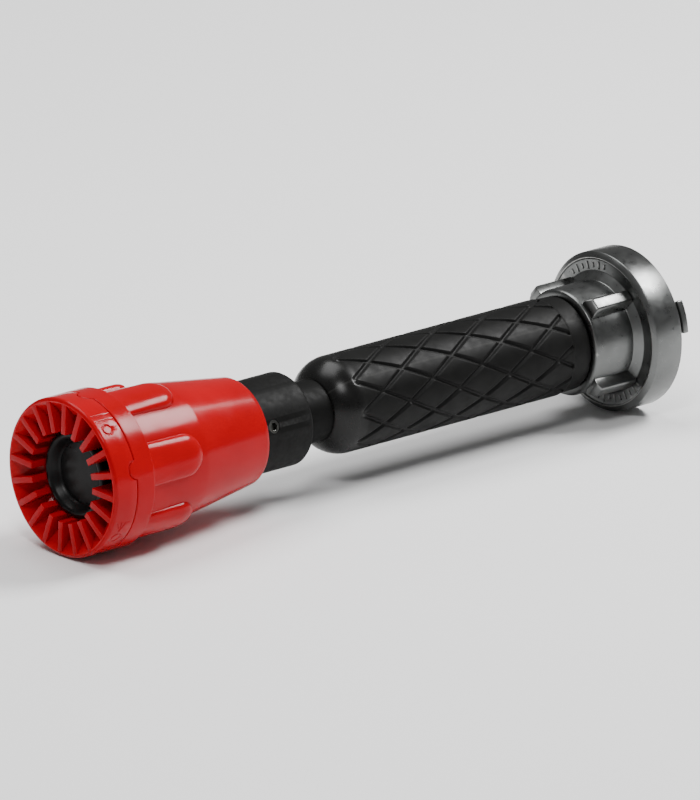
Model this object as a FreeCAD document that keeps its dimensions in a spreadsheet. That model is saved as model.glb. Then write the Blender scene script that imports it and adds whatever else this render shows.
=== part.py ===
"""Twist-head fire hose nozzle with a Storz D coupling, built as separate pieces.

The waterway lies along X.  The origin is the centre of the coupling's mating face, +X is the way the
water leaves and +Z is up.  Lengths are millimetres, angles are degrees, and an elevation is an angle
round the waterway from +Y towards +Z.
"""
import FreeCAD, Part
import math
import os
import re

import Sketcher

# Driving sizes, one spreadsheet cell each.
SIZES = {
    # Clearances
    "touch_gap": 0.05,             # between faces that seat on each other
    "fit_gap": 0.05,               # radial, between a spigot and the bore it is fixed in
    "running_gap": 0.08,           # radial, between a sliding or turning pair
    "end_gap": 0.3,                # along the axis, between pieces that move past each other
    "play": 0.3,                   # round a lug or key in its slot
    # Lengths along the waterway
    "coupling_length": 30.2,
    "grip_gap": 0.5,
    "grip_length": 110.6,
    "neck_show": 13.2,
    "collar_show": 21.9,
    "head_length": 75.35,
    # Barrel
    "tail_bore": 8.5,
    "barrel_bore": 8.8,
    "barrel_radius": 12.7,
    "neck_radius": 10.7,
    "barrel_step": 3.0,
    "neck_depth": 22.0,            # how far the neck enters the collar
    "neck_lead": 7.2,              # straight neck under the grip's front lip
    # Inlet tail
    "tail_radius": 13.0,
    "tail_flange_radius": 15.0,
    "tail_flange_length": 6.5,
    "tail_spigot_radius": 11.0,
    "tail_spigot_length": 15.5,
    "tail_land": 1.4,
    "gasket_radius": 13.6,
    "gasket_bore": 9.4,
    "gasket_length": 5.1,
    "gasket_proud": 0.5,
    "washer_length": 0.9,
    "snap_recess": 5.7,
    "snap_width": 1.1,
    "snap_depth": 1.0,
    "snap_opening": 24.0,
    # Storz claw ring
    "ring_radius": 27.5,
    "ring_rim_length": 10.8,
    "ring_bevel_length": 1.3,
    "ring_face_radius": 25.7,
    "ring_face_recess": 0.5,
    "claw_inner": 15.5,            # half of the Storz claw distance of 31 mm
    "claw_stem": 4.0,
    "hook_radius": 23.7,
    "hook_length": 2.4,
    "claw_reach": 6.6,
    "claw_spread": 28.0,
    "claw_elevation": 17.6,
    "slot_spread": 40.0,
    "lip_radius": 20.0,
    "lip_length": 3.5,
    "cavity_radius": 24.5,
    "cavity_depth": 9.0,
    "hub_clearance": 2.2,          # radial, between the hub's bore and the barrel in it
    "hub_wall": 3.4,
    "hub_bevel": 1.5,
    "hub_foot": 2.4,               # how far the cone at the hub's foot spreads
    "wrench_rib_height": 3.7,
    "wrench_rib_width": 4.6,
    "wrench_rib_setback": 1.4,
    "wrench_rib_elevation": 49.0,
    # Grip
    "grip_radius": 16.7,
    "grip_band_radius": 15.9,
    "grip_band_length": 7.5,
    "band_line_depth": 0.5,
    "shoulder_length": 10.5,
    "lip_wall": 0.55,              # rubber at the grip's front end
    # Collar, which is the back of the valve body
    "collar_radius": 16.0,
    "collar_bevel_length": 0.8,
    "collar_bevel_depth": 0.5,
    "screw_setback": 4.9,
    "screw_radius": 2.25,
    "screw_hex_radius": 1.45,
    "screw_hex_depth": 2.0,
    "screw_elevation": 16.3,
    "spider_length": 3.9,
    "spider_ring": 1.7,
    "spider_hub_radius": 4.6,
    "spider_hub_overhang": 2.0,
    "vane_width": 1.8,
    "body_lip_radius": 9.6,
    "body_lip": 2.0,
    "chamber_length": 21.0,
    # Sealing rings
    "cord_radius": 0.6,            # half the thickness of each O-ring
    "ring_groove": 1.6,            # width of each O-ring groove
    # Travel of the head and the valve sleeve from the stored position
    "close_travel": 8.0,           # forwards, until the seat meets the baffle seal
    "fog_travel": 1.8,             # backwards, to the wide fog position
    "cam_lead": 20.0,              # travel for one full turn of the head
    "lug_radius": 1.75,
    "lug_depth": 1.8,
    "lug_setback": 3.0,
    "lug_elevation": 105.0,
    "key_radius": 1.2,
    "key_depth": 0.8,
    "key_setback": 1.5,
    "key_elevation": 165.0,
    # Valve sleeve
    "piston_radius": 13.0,
    "sleeve_wall": 2.2,
    "nose_radius": 14.4,
    "nose_length": 21.5,
    "flange_radius": 17.6,
    "flange_length": 3.0,
    "seat_length": 4.0,
    "seat_outer": 13.4,
    "seat_bore": 11.5,
    "seat_proud": 0.4,
    # Stem and baffle
    "stem_radius": 3.0,
    "spacer_radius": 4.6,
    "nut_radius": 5.4,
    "nut_length": 4.0,
    "baffle_radius": 14.9,
    "baffle_length": 6.9,
    "baffle_hub_length": 4.0,
    "baffle_rim": 4.4,
    "baffle_floor": 2.3,
    "seal_outer": 13.9,
    "seal_inner": 11.2,
    "seal_length": 1.2,
    "seal_proud": 0.15,
    "bolt_head_radius": 5.0,
    "cap_length": 1.1,
    "cap_edge": 0.4,
    "rim_crest": 2.0,
    # Head
    "head_back_wall": 2.62,        # shell outside the bearing at its back end
    "cone_length": 30.4,
    "cone_radius": 23.1,
    "waist_radius": 24.5,
    "band_radius": 27.2,
    "band_length": 8.55,
    "band_bevel": 1.2,
    "ring_depth": 9.75,
    "rib_crest_radius": 26.4,
    "rib_round": 8.5,
    "rib_crest_length": 24.7,
    "rib_elevation": 15.0,
    "tab_radius": 3.3,
    "tab_setback": 0.5,
    "tab_elevation": 15.3,
    "jet_bore": 15.8,
    "bearing_length": 10.4,
    "bush_wall": 1.92,
    "retainer_length": 4.2,
    "wiper_setback": 4.4,
    "wiper_length": 1.8,
    "wiper_depth": 1.1,
    "spigot_radius": 22.0,
    "spigot_length": 5.7,
    # Toothed front ring
    "front_edge": 1.3,
    "rim_wall": 1.7,
    "tooth_width": 2.2,
    "tooth_inner": 15.3,
    "tooth_outer": 25.7,
    "funnel_depth": 9.2,
}

# Places along X, each a formula of the sizes.
PLACES = {
    "washer_start": "tail_flange_length + touch_gap",
    "ring_seat": "washer_start + washer_length + touch_gap",
    "ring_face": "ring_rim_length + ring_bevel_length",
    "snap_shoulder": "coupling_length - snap_recess",
    "snap_groove_end": "snap_shoulder + snap_width + 2 * touch_gap",
    "tail_shoulder": "snap_groove_end + tail_land",
    "tail_end": "tail_shoulder + tail_spigot_length",
    "tail_ring_place": "tail_shoulder + tail_land + ring_groove",
    "barrel_start": "tail_shoulder + touch_gap",
    "grip_start": "coupling_length + grip_gap",
    "grip_end": "grip_start + grip_length",
    "neck_start": "grip_end - neck_lead",
    "band_end": "grip_start + grip_band_length",
    "shoulder_start": "grip_end - shoulder_length",
    "collar_start": "grip_end + neck_show",
    "collar_ring_place": "collar_start + collar_bevel_length + ring_groove",
    "barrel_end": "collar_start + neck_depth",
    "spider_start": "barrel_end + touch_gap",
    "spider_end": "spider_start + spider_length",
    "lip_start": "spider_end + touch_gap",
    "chamber_start": "lip_start + body_lip",
    "body_end": "chamber_start + chamber_length",
    "head_start": "collar_start + collar_show",
    "screw_place": "head_start - screw_setback",
    "sleeve_start": "chamber_start + fog_travel + 2 * end_gap",
    "sleeve_ring_place": "sleeve_start + 2 * ring_groove",
    "flange_start": "body_end + fog_travel + 4 * end_gap",
    "flange_end": "flange_start + flange_length",
    "sleeve_end": "flange_end + nose_length",
    "seat_start": "sleeve_end - seat_length",
    "seat_face": "sleeve_end + seat_proud",
    "seal_face": "seat_face + close_travel + touch_gap",
    "baffle_start": "seal_face + seal_proud",
    "baffle_end": "baffle_start + baffle_length",
    "baffle_hub_start": "baffle_start - baffle_hub_length",
    "baffle_dish": "baffle_start + baffle_floor",
    "cap_end": "baffle_dish + cap_length",
    "spider_hub_start": "spider_start - spider_hub_overhang",
    "spider_hub_end": "spider_end + spider_hub_overhang",
    "bush_start": "head_start + bearing_length",
    "bush_end": "flange_start - end_gap",
    "lug_place": "bush_start + lug_setback",
    "key_place": "body_end - key_setback",
    "retainer_start": "flange_end + end_gap",
    "retainer_end": "retainer_start + retainer_length",
    "head_end": "head_start + head_length",
    "parting": "head_end - ring_depth",
    "head_band_start": "parting - band_length",
    "spigot_start": "parting - spigot_length",
    "cone_end": "head_start + cone_length",
    "rib_centre": "head_end - ring_depth - rib_crest_length",
    "rib_axis_radius": "rib_crest_radius - rib_round",
    "wiper_place": "head_start + wiper_setback",
    "shoulder_drop": "grip_radius - neck_radius - fit_gap - lip_wall",
    "hub_bore": "barrel_radius + hub_clearance",
    "snap_radius": "hub_bore - play",
    "hub_radius": "hub_bore + hub_wall",
    "ring_face_inner": "hub_radius + hub_foot",
    "wrench_rib_radius": "hub_radius + wrench_rib_height",
    "sleeve_bore": "piston_radius - sleeve_wall",
    "claw_outer": "claw_inner + claw_stem",
    "chamber_radius": "piston_radius + running_gap",
    "bearing_radius": "collar_radius + running_gap",
    "bush_radius": "bearing_radius + bush_wall",
    "head_back_radius": "bearing_radius + head_back_wall",
    "cap_radius": "baffle_radius - baffle_rim",
}

X_AXIS = FreeCAD.Vector(1, 0, 0)
DOCUMENT = FreeCAD.newDocument("fire_hose_nozzle")
SHEET = DOCUMENT.addObject("Spreadsheet::Sheet", "Sizes")


def fill_sheet():
    """Give every driving size its own cell and alias."""
    for row, (word, size) in enumerate(SIZES.items(), start=1):
        SHEET.set(f"A{row}", word)
        SHEET.set(f"B{row}", str(size))
        SHEET.setAlias(f"B{row}", word)
    DOCUMENT.recompute()


def formula(text):
    """Spell a formula of size and place names out in spreadsheet cells."""
    def cell(match):
        word = match.group()
        if word in PLACES:
            return "(" + formula(PLACES[word]) + ")"
        return "Sizes." + word if word in SIZES else word
    return re.sub(r"[a-z][a-z_]*", cell, text)


def value(text):
    """The number that a formula comes to."""
    return float(SHEET.evalExpression(formula(text)))


# Sketches and features -----------------------------------------------------------------------

def new_body(name):
    """Start a piece whose Label is the name of its file."""
    return DOCUMENT.addObject("PartDesign::Body", name)


def origin_feature(body, role):
    """One of the body's own origin planes or axes."""
    return next(item for item in body.Origin.OriginFeatures if item.Role == role)


def lay_sketch(body, name, plane="XY_Plane", turn="0", lift="0"):
    """Start a sketch, turned about X by an elevation and lifted off the axis along its own normal."""
    sketch = body.newObject("Sketcher::SketchObject", name)
    sketch.AttachmentSupport = [(origin_feature(body, plane), "")]
    sketch.MapMode = "FlatFace"
    if turn != "0":
        angle = math.radians(value(turn))
        offset = value(lift)
        base = FreeCAD.Vector(0, -offset * math.sin(angle), offset * math.cos(angle))
        sketch.AttachmentOffset = FreeCAD.Placement(base, FreeCAD.Rotation(X_AXIS, math.degrees(angle)))
        sketch.setExpression("AttachmentOffset.Rotation.Angle", formula(turn))
        sketch.setExpression("AttachmentOffset.Base.y", f"-({formula(lift)}) * sin({formula(turn)})")
        sketch.setExpression("AttachmentOffset.Base.z", f"({formula(lift)}) * cos({formula(turn)})")
    return sketch


def bind(sketch, kind, geometry, point, text):
    """Measure a point of the sketch from its origin with a formula."""
    constraint = Sketcher.Constraint(kind, -1, 1, geometry, point, value(text))
    index = sketch.addConstraint(constraint)
    sketch.setExpression(f"Constraints[{index}]", formula(text))


def draw_outline(sketch, corners):
    """Draw a closed outline of (along, out) corners.

    A corner with a third formula is reached by an arc of that radius, which starts along the line
    before it and falls away towards the axis.
    """
    points = [FreeCAD.Vector(value(corner[0]), value(corner[1]), 0) for corner in corners]
    count = len(corners)
    for index, start in enumerate(points):
        end = points[(index + 1) % count]
        following = corners[(index + 1) % count]
        if len(following) == 2:
            sketch.addGeometry(Part.LineSegment(start, end))
            continue
        radius = value(following[2])
        centre = start - FreeCAD.Vector(0, radius, 0)
        half_way = ((start - centre).normalize() + (end - centre).normalize()).normalize()
        sketch.addGeometry(Part.Arc(end, centre + half_way * radius, start))
        arc_index = sketch.addConstraint(Sketcher.Constraint("Radius", index, radius))
        sketch.setExpression(f"Constraints[{arc_index}]", formula(following[2]))
    arcs = {index for index in range(count) if len(corners[(index + 1) % count]) == 3}
    for index in range(count):
        following = (index + 1) % count
        end_point = 1 if index in arcs else 2
        start_point = 2 if following in arcs else 1
        sketch.addConstraint(Sketcher.Constraint("Coincident", index, end_point, following, start_point))
        own_start = 2 if index in arcs else 1
        bind(sketch, "DistanceX", index, own_start, corners[index][0])
        bind(sketch, "DistanceY", index, own_start, corners[index][1])


def draw_circle(sketch, along, across, radius):
    """Draw a circle with its centre and radius bound to formulas."""
    centre = FreeCAD.Vector(value(along), value(across), 0)
    sketch.addGeometry(Part.Circle(centre, FreeCAD.Vector(0, 0, 1), value(radius)))
    bind(sketch, "DistanceX", 0, 3, along)
    bind(sketch, "DistanceY", 0, 3, across)
    index = sketch.addConstraint(Sketcher.Constraint("Radius", 0, value(radius)))
    sketch.setExpression(f"Constraints[{index}]", formula(radius))


def spin(body, kind, name, corners, turn="0", spread="360"):
    """Revolve an outline round X, or cut it away, by a whole turn or a sector centred on turn."""
    sketch = lay_sketch(body, name + "_outline", turn=turn)
    draw_outline(sketch, corners)
    feature = body.newObject("PartDesign::" + kind, name)
    feature.Profile = sketch
    feature.ReferenceAxis = (sketch, ["H_Axis"])
    feature.Angle = value(spread)
    if spread != "360":
        feature.Midplane = True
        feature.setExpression("Angle", formula(spread))
    return feature


def turned_piece(name, corners):
    """A piece turned from one outline."""
    body = new_body(name)
    spin(body, "Revolution", name + "_turning", corners)
    return body


def plate(body, name, corners, width, turn="0"):
    """Add a plate through the axis, with an (along, out) outline and its width shared both ways."""
    sketch = lay_sketch(body, name + "_outline", turn=turn)
    draw_outline(sketch, corners)
    feature = body.newObject("PartDesign::Pad", name)
    feature.Profile = sketch
    feature.SideType = "Symmetric"
    feature.setExpression("Length", formula(width))
    return feature


def radial(body, kind, name, place, radius, elevation, start, depth):
    """Add or cut a round boss that stands out along a radius at an elevation."""
    sketch = lay_sketch(body, name + "_circle", turn=f"{elevation} - 90", lift=start)
    draw_circle(sketch, place, "0", radius)
    feature = body.newObject("PartDesign::" + kind, name)
    feature.Profile = sketch
    feature.Reversed = kind == "Pocket"
    feature.setExpression("Length", formula(depth))
    return feature


def repeat(body, features, count):
    """Repeat features evenly round X and make the last pattern the body's tip."""
    pattern = body.newObject("PartDesign::PolarPattern", features[-1].Name + "_pattern")
    pattern.Originals = features
    pattern.Axis = (origin_feature(body, "X_Axis"), [""])
    pattern.Angle = 360
    pattern.Occurrences = count
    body.Tip = pattern
    return pattern


def round_edge(body, name, place, out, radius):
    """Fillet the circular edge at a place along the waterway and a distance out from it."""
    DOCUMENT.recompute()
    base = body.Tip
    chosen = []
    for index, edge in enumerate(base.Shape.Edges, start=1):
        curve = edge.Curve
        if curve.TypeId != "Part::GeomCircle":
            continue
        near = abs(curve.Center.x - value(place)) < 0.01 and abs(curve.Radius - value(out)) < 0.01
        if near:
            chosen.append(f"Edge{index}")
    fillet = body.newObject("PartDesign::Fillet", name)
    fillet.Base = (base, chosen)
    fillet.setExpression("Radius", formula(radius))
    return fillet


def ring_of_cord(name, place, centre_radius):
    """An O-ring round the waterway."""
    ring = DOCUMENT.addObject("Part::Torus", name)
    ring.setExpression("Radius1", formula(centre_radius))
    ring.setExpression("Radius2", formula("cord_radius"))
    ring.Placement = FreeCAD.Placement(FreeCAD.Vector(), FreeCAD.Rotation(FreeCAD.Vector(0, 1, 0), 90))
    ring.setExpression("Placement.Base.x", formula(place))
    return ring


def groove_outline(place, floor, outside):
    """The outline of an O-ring groove centred on a place."""
    return [
        (f"{place} - ring_groove / 2", floor),
        (f"{place} - ring_groove / 2", outside),
        (f"{place} + ring_groove / 2", outside),
        (f"{place} + ring_groove / 2", floor),
    ]


# Barrel, coupling tail and grip --------------------------------------------------------------

def barrel_tube():
    """The aluminium tube under the grip, with a narrower neck that carries the valve body."""
    barrel = turned_piece("barrel_tube", [
        ("barrel_start", "tail_spigot_radius + fit_gap"),
        ("barrel_start", "barrel_radius"),
        ("neck_start - barrel_step", "barrel_radius"),
        ("neck_start", "neck_radius"),
        ("barrel_end", "neck_radius"),
        ("barrel_end", "barrel_bore"),
        ("tail_end + end_gap", "barrel_bore"),
        ("tail_end + end_gap", "tail_spigot_radius + fit_gap"),
    ])
    floor = "neck_radius - 2 * cord_radius + fit_gap / 2"
    spin(barrel, "Groove", "neck_ring_groove", groove_outline("collar_ring_place", floor, "barrel_radius"))
    return barrel


def inlet_tail():
    """The flanged tail that the claw ring turns on, fixed in the back of the barrel."""
    tail = turned_piece("inlet_tail", [
        ("0", "gasket_radius + fit_gap"),
        ("0", "tail_flange_radius"),
        ("tail_flange_length", "tail_flange_radius"),
        ("tail_flange_length", "tail_radius"),
        ("snap_shoulder", "tail_radius"),
        ("snap_shoulder", "tail_radius - snap_depth"),
        ("snap_groove_end", "tail_radius - snap_depth"),
        ("snap_groove_end", "tail_radius"),
        ("tail_shoulder", "tail_radius"),
        ("tail_shoulder", "tail_spigot_radius"),
        ("tail_end", "tail_spigot_radius"),
        ("tail_end", "tail_bore"),
        ("gasket_length + touch_gap", "tail_bore"),
        ("gasket_length + touch_gap", "gasket_radius + fit_gap"),
    ])
    floor = "tail_spigot_radius - 2 * cord_radius + fit_gap / 2"
    spin(tail, "Groove", "tail_ring_groove", groove_outline("tail_ring_place", floor, "tail_radius"))
    return tail


def inlet_gasket():
    """The rubber face gasket, which stands a little proud of the mating face."""
    gasket = turned_piece("inlet_gasket", [
        ("-gasket_proud", "gasket_bore"),
        ("-gasket_proud", "gasket_radius"),
        ("gasket_length", "gasket_radius"),
        ("gasket_length", "gasket_bore"),
    ])
    round_edge(gasket, "gasket_lip", "-gasket_proud", "gasket_radius", "gasket_proud")
    return gasket


def swivel_washer():
    """The plastic thrust washer between the tail's flange and the claw ring."""
    return turned_piece("swivel_washer", [
        ("washer_start", "tail_radius + play"),
        ("washer_start", "tail_flange_radius"),
        ("washer_start + washer_length", "tail_flange_radius"),
        ("washer_start + washer_length", "tail_radius + play"),
    ])


def snap_ring():
    """The open spring ring that keeps the claw ring on its tail."""
    ring = turned_piece("coupling_snap_ring", [
        ("snap_shoulder + touch_gap", "tail_radius - snap_depth + fit_gap"),
        ("snap_shoulder + touch_gap", "snap_radius"),
        ("snap_shoulder + touch_gap + snap_width", "snap_radius"),
        ("snap_shoulder + touch_gap + snap_width", "tail_radius - snap_depth + fit_gap"),
    ])
    spin(ring, "Groove", "snap_ring_opening", [
        ("snap_shoulder - touch_gap", "tail_radius / 2"),
        ("snap_shoulder - touch_gap", "hub_radius"),
        ("snap_groove_end + touch_gap", "hub_radius"),
        ("snap_groove_end + touch_gap", "tail_radius / 2"),
    ], turn="claw_elevation", spread="snap_opening")
    return ring


def grip_sleeve():
    """The rubber grip: a plain back band, the hand grip and a rounded front shoulder."""
    inner = "barrel_radius + fit_gap"
    lip = "neck_radius + fit_gap"
    return turned_piece("grip_sleeve", [
        ("grip_start", inner),
        ("grip_start", "grip_band_radius"),
        ("band_end - band_line_depth", "grip_radius - band_line_depth"),
        ("band_end", "grip_radius - 2 * band_line_depth"),
        ("band_end + band_line_depth", "grip_radius"),
        ("shoulder_start", "grip_radius"),
        ("grip_end", "grip_radius - shoulder_drop",
         "(shoulder_length * shoulder_length + shoulder_drop * shoulder_drop) / (2 * shoulder_drop)"),
        ("grip_end", lip),
        ("neck_start + end_gap", lip),
        ("neck_start - barrel_step + end_gap", inner),
    ])


# Storz claw ring -----------------------------------------------------------------------------

def claw_ring():
    """The swivelling Storz ring with two hooked claws, two entry slots and four wrench ribs."""
    ring = turned_piece("claw_ring", [
        ("0", "lip_radius"),
        ("0", "ring_radius"),
        ("ring_rim_length", "ring_radius"),
        ("ring_face", "ring_face_radius"),
        ("ring_face - ring_face_recess", "ring_face_radius - ring_face_recess"),
        ("ring_face - ring_face_recess", "ring_face_inner + ring_face_recess"),
        ("ring_face", "ring_face_inner"),
        ("ring_face + hub_bevel", "hub_radius"),
        ("coupling_length - hub_bevel", "hub_radius"),
        ("coupling_length", "hub_radius - hub_bevel"),
        ("coupling_length", "hub_bore"),
        ("snap_shoulder", "hub_bore"),
        ("snap_shoulder", "tail_radius + running_gap"),
        ("ring_seat", "tail_radius + running_gap"),
        ("ring_seat", "claw_inner"),
        ("cavity_depth", "claw_inner"),
        ("cavity_depth", "cavity_radius"),
        ("lip_length", "cavity_radius"),
        ("lip_length", "lip_radius"),
    ])
    claw = spin(ring, "Revolution", "claw", [
        ("-claw_reach", "claw_inner"),
        ("-claw_reach", "hook_radius"),
        ("hook_length - claw_reach", "hook_radius"),
        ("hook_length - claw_reach", "claw_outer"),
        ("cavity_depth + ring_face_recess", "claw_outer"),
        ("cavity_depth + ring_face_recess", "claw_inner"),
    ], turn="claw_elevation", spread="claw_spread")
    repeat(ring, [claw], 2)
    slot = spin(ring, "Groove", "entry_slot", [
        ("-touch_gap", "claw_outer"),
        ("-touch_gap", "cavity_radius"),
        ("lip_length + touch_gap", "cavity_radius"),
        ("lip_length + touch_gap", "claw_outer"),
    ], turn="claw_elevation + 90", spread="slot_spread")
    repeat(ring, [slot], 2)
    rib_end = "coupling_length - wrench_rib_setback"
    rib = plate(ring, "wrench_rib", [
        ("ring_face - ring_face_recess", "(hub_bore + hub_radius) / 2"),
        ("ring_face - ring_face_recess", "wrench_rib_radius"),
        (f"{rib_end} - 2 * hub_bevel", "wrench_rib_radius"),
        (f"{rib_end}", "hub_radius"),
        (f"{rib_end}", "(hub_bore + hub_radius) / 2"),
    ], "wrench_rib_width", turn="wrench_rib_elevation")
    repeat(ring, [rib], 4)
    return ring


# Valve body and what is fixed in it ----------------------------------------------------------

# The angle that half a lug and its play take up on the collar's surface.
LUG_ROOM = "(360 * (lug_radius + play) / (2 * pi * collar_radius))"
# The elevation that the cam groove starts at, and how far round it runs.
CAM_GROOVE_START = f"lug_elevation - 360 * fog_travel / cam_lead - {LUG_ROOM}"
CAM_GROOVE_TURN = f"360 * (fog_travel + close_travel) / cam_lead + 2 * {LUG_ROOM}"


def valve_body():
    """The black body on the barrel's neck: its back is the collar, its front carries the head."""
    body = turned_piece("valve_body", [
        ("collar_start", "neck_radius + fit_gap"),
        ("collar_start", "collar_radius - collar_bevel_depth"),
        ("collar_start + collar_bevel_length", "collar_radius"),
        ("body_end", "collar_radius"),
        ("body_end", "chamber_radius"),
        ("chamber_start", "chamber_radius"),
        ("chamber_start", "body_lip_radius"),
        ("lip_start", "body_lip_radius"),
        ("lip_start", "neck_radius + fit_gap"),
    ])
    radial(body, "Pocket", "screw_hole", "screw_place", "screw_radius + fit_gap", "screw_elevation",
           "neck_radius", "collar_radius")
    radial(body, "Pocket", "key_hole", "key_place", "key_radius + fit_gap", "key_elevation",
           "chamber_radius / 2", "collar_radius")
    groove = lay_sketch(body, "cam_groove_outline", turn=CAM_GROOVE_START)
    place = f"lug_place + cam_lead * (({CAM_GROOVE_START}) - lug_elevation) / 360"
    half = "(lug_radius + play)"
    floor = "collar_radius - lug_depth"
    draw_outline(groove, [
        (f"{place} - {half}", floor),
        (f"{place} - {half}", "collar_radius + lug_radius"),
        (f"{place} + {half}", "collar_radius + lug_radius"),
        (f"{place} + {half}", floor),
    ])
    cam = body.newObject("PartDesign::SubtractiveHelix", "cam_groove")
    cam.Profile = groove
    cam.ReferenceAxis = (origin_feature(body, "X_Axis"), [""])
    cam.setExpression("Pitch", formula("cam_lead"))
    cam.setExpression("Height", formula(f"cam_lead * ({CAM_GROOVE_TURN}) / 360"))
    repeat(body, [cam], 2)
    return body


def collar_set_screw():
    """The socket set screw that locks the collar on the barrel's neck."""
    screw = new_body("collar_set_screw")
    radial(screw, "Pad", "screw_shank", "screw_place", "screw_radius", "screw_elevation",
           "neck_radius + touch_gap", "collar_radius - neck_radius - play")
    sketch = lay_sketch(screw, "socket_outline", turn="screw_elevation - 90", lift="collar_radius")
    corners = []
    for step in range(6):
        corners.append((f"screw_place + screw_hex_radius * cos({60 * step})",
                        f"screw_hex_radius * sin({60 * step})"))
    draw_outline(sketch, corners)
    socket = screw.newObject("PartDesign::Pocket", "socket")
    socket.Profile = sketch
    socket.setExpression("Length", formula("screw_hex_depth + play"))
    return screw


def guide_key():
    """The dowel that keeps the valve sleeve from turning."""
    key = new_body("guide_key")
    radial(key, "Pad", "dowel", "key_place", "key_radius", "key_elevation",
           "piston_radius - key_depth + play / 2", "collar_radius - piston_radius + key_depth - 2 * play")
    return key


def stem_spider():
    """The three-vaned holder clamped between the barrel's end and the body's lip."""
    spider = turned_piece("stem_spider", [
        ("spider_start", "neck_radius - spider_ring"),
        ("spider_start", "neck_radius"),
        ("spider_end", "neck_radius"),
        ("spider_end", "neck_radius - spider_ring"),
    ])
    for step in range(3):
        sketch = lay_sketch(spider, f"vane_{step}_outline", turn=f"screw_elevation + {120 * step}")
        draw_outline(sketch, [
            ("spider_start", "stem_radius + cord_radius"),
            ("spider_start", "neck_radius - spider_ring / 2"),
            ("spider_end", "neck_radius - spider_ring / 2"),
            ("spider_end", "stem_radius + cord_radius"),
        ])
        vane = spider.newObject("PartDesign::Pad", f"vane_{step}")
        vane.Profile = sketch
        vane.SideType = "Symmetric"
        vane.setExpression("Length", formula("vane_width"))
    spin(spider, "Revolution", "hub", [
        ("spider_hub_start", "stem_radius + fit_gap"),
        ("spider_hub_start", "spider_hub_radius"),
        ("spider_hub_end", "spider_hub_radius"),
        ("spider_hub_end", "stem_radius + fit_gap"),
    ])
    return spider


def stem_bolt():
    """The long bolt that holds the baffle, its spacer and the spider together."""
    bolt = turned_piece("stem_bolt", [
        ("spider_hub_start - nut_length - end_gap", "0"),
        ("spider_hub_start - nut_length - end_gap", "stem_radius"),
        ("baffle_start + touch_gap", "stem_radius"),
        ("baffle_start + touch_gap", "bolt_head_radius"),
        ("baffle_dish - touch_gap", "bolt_head_radius"),
        ("baffle_dish - touch_gap", "0"),
    ])
    return bolt


def stem_spacer():
    """The tube between the spider's hub and the baffle."""
    return turned_piece("stem_spacer", [
        ("spider_hub_end + touch_gap", "stem_radius + fit_gap"),
        ("spider_hub_end + touch_gap", "spacer_radius"),
        ("baffle_hub_start - touch_gap", "spacer_radius"),
        ("baffle_hub_start - touch_gap", "stem_radius + fit_gap"),
    ])


def stem_nut():
    """The hexagonal nut on the back end of the stem bolt."""
    nut = new_body("stem_nut")
    sketch = lay_sketch(nut, "nut_outline", plane="YZ_Plane")
    corners = [(f"nut_radius * cos({60 * step})", f"nut_radius * sin({60 * step})") for step in range(6)]
    draw_outline(sketch, corners)
    sketch.setExpression("AttachmentOffset.Base.z", formula("spider_hub_start - nut_length - touch_gap"))
    blank = nut.newObject("PartDesign::Pad", "nut_blank")
    blank.Profile = sketch
    blank.setExpression("Length", formula("nut_length"))
    spin(nut, "Groove", "nut_thread", [
        ("spider_hub_start - 2 * nut_length", "0"),
        ("spider_hub_start - 2 * nut_length", "stem_radius + fit_gap"),
        ("spider_hub_start", "stem_radius + fit_gap"),
        ("spider_hub_start", "0"),
    ])
    return nut


def baffle_disc():
    """The round baffle that turns the water outwards, dished at the front for its cap."""
    baffle = turned_piece("baffle_disc", [
        ("baffle_hub_start", "stem_radius + fit_gap"),
        ("baffle_hub_start", "spacer_radius"),
        ("baffle_start", "spacer_radius + baffle_floor / 2"),
        ("baffle_start", "seal_inner - fit_gap"),
        ("baffle_start + seal_length", "seal_inner - fit_gap"),
        ("baffle_start + seal_length", "seal_outer + fit_gap"),
        ("baffle_start + seal_length / 2", "seal_outer + fit_gap"),
        ("baffle_start + baffle_length / 2", "baffle_radius"),
        ("baffle_end", "baffle_radius"),
        ("baffle_end", "baffle_radius - rim_crest"),
        ("cap_end", "cap_radius"),
        ("baffle_dish", "cap_radius"),
        ("baffle_dish", "bolt_head_radius + fit_gap"),
        ("baffle_start", "bolt_head_radius + fit_gap"),
        ("baffle_start", "stem_radius + fit_gap"),
    ])
    round_edge(baffle, "rim_rounding", "baffle_end", "baffle_radius", "front_edge")
    return baffle


def baffle_seal():
    """The flat rubber ring that the valve seat closes on."""
    return turned_piece("baffle_seal", [
        ("seal_face", "seal_inner"),
        ("seal_face", "seal_outer"),
        ("seal_face + seal_length", "seal_outer"),
        ("seal_face + seal_length", "seal_inner"),
    ])


def baffle_cap():
    """The flat cap over the stem bolt's head, in the floor of the baffle's dish."""
    return turned_piece("baffle_cap", [
        ("baffle_dish + touch_gap", "0"),
        ("baffle_dish + touch_gap", "cap_radius - fit_gap"),
        ("cap_end - cap_edge", "cap_radius - fit_gap"),
        ("cap_end", "cap_radius - fit_gap - cap_edge"),
        ("cap_end", "0"),
    ])


# Valve sleeve --------------------------------------------------------------------------------

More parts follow.
